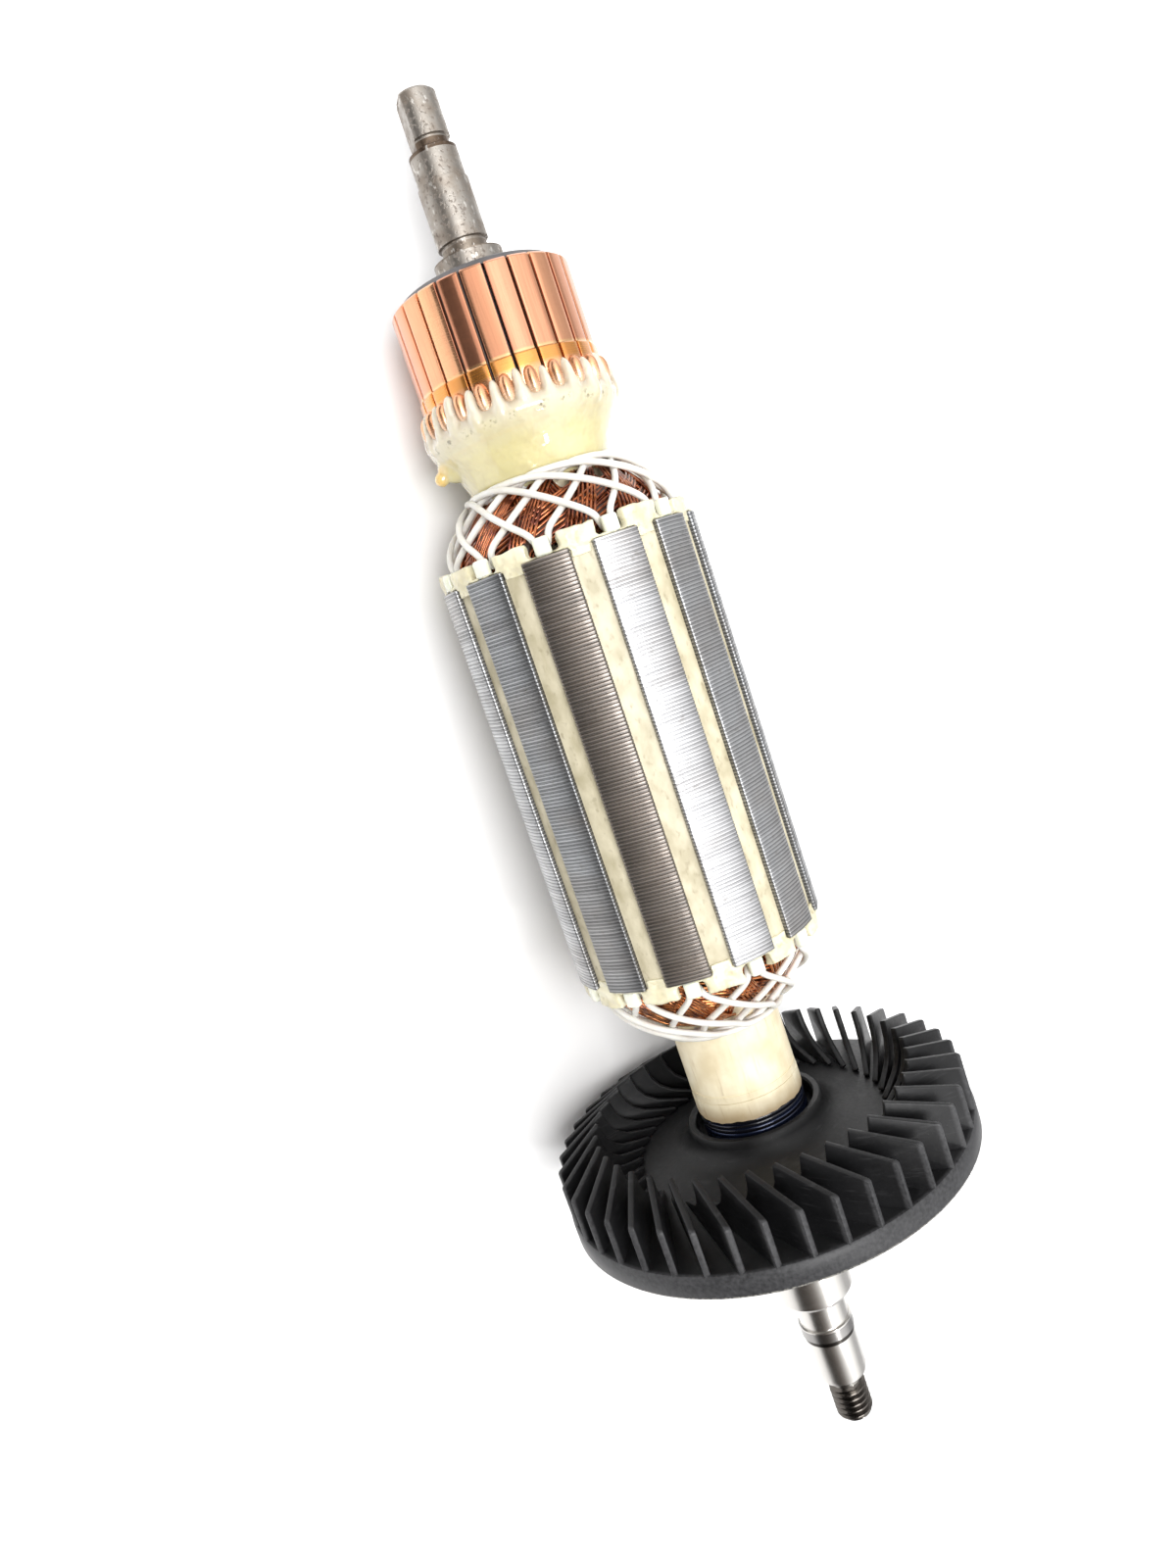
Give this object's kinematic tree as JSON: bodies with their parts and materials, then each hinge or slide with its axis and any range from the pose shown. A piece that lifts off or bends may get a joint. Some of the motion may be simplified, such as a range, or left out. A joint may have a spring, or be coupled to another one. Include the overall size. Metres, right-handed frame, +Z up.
{
  "type": "motor armature",
  "caption": "Wound armature of a universal motor on its shaft, with commutator, laced winding heads, laminated core and a moulded radial fan.",
  "frame": {"origin": "On the shaft axis, at the middle of the drive end bearing seat.", "axes": "+X runs along the shaft towards the threaded end, with the commutator on the -X side. +Z is up from the table, as the part lies in the picture. +Y is away from the camera's side, across the shaft."},
  "size_m": [0.2034, 0.0628, 0.0628],
  "materials": {
    "shaft_steel": "ground and turned steel",
    "core_steel": "bare edges of stamped electrical steel",
    "blued_steel": "turned and blued",
    "copper": "turned copper",
    "magnet_wire": "enamelled copper wire",
    "phenolic": "moulded phenolic",
    "resin": "glossy cast resin",
    "insulator": "moulded cream plastic with varnish",
    "liner_paper": "varnished insulation sheet",
    "sleeve": "cream tube",
    "cord": "white tying cord",
    "fan_plastic": "glass filled black plastic"
  },
  "bodies": {
    "root": {"coil_01": "magnet_wire", "coil_02": "magnet_wire", "coil_03": "magnet_wire", "coil_04": "magnet_wire", "coil_05": "magnet_wire", "coil_06": "magnet_wire", "coil_07": "magnet_wire", "coil_08": "magnet_wire", "coil_09": "magnet_wire", "coil_10": "magnet_wire", "coil_11": "magnet_wire", "coil_12": "magnet_wire", "commutator_bar_01": "copper", "commutator_bar_02": "copper", "commutator_bar_03": "copper", "commutator_bar_04": "copper", "commutator_bar_05": "copper", "commutator_bar_06": "copper", "commutator_bar_07": "copper", "commutator_bar_08": "copper", "commutator_bar_09": "copper", "commutator_bar_10": "copper", "commutator_bar_11": "copper", "commutator_bar_12": "copper", "commutator_bar_13": "copper", "commutator_bar_14": "copper", "commutator_bar_15": "copper", "commutator_bar_16": "copper", "commutator_bar_17": "copper", "commutator_bar_18": "copper", "commutator_bar_19": "copper", "commutator_bar_20": "copper", "commutator_bar_21": "copper", "commutator_bar_22": "copper", "commutator_bar_23": "copper", "commutator_bar_24": "copper", "commutator_hub": "phenolic", "end_insulator_comm": "insulator", "end_insulator_drive": "insulator", "fan": "fan_plastic", "fan_seat_ring": "blued_steel", "lacing_comm": "cord", "lacing_drive": "cord", "lamination_stack": "core_steel", "resin_collar": "resin", "shaft": "shaft_steel", "shaft_insulation": "sleeve", "slot_liners": "liner_paper", "slot_wedges": "liner_paper"}
  },
  "joints": []
}
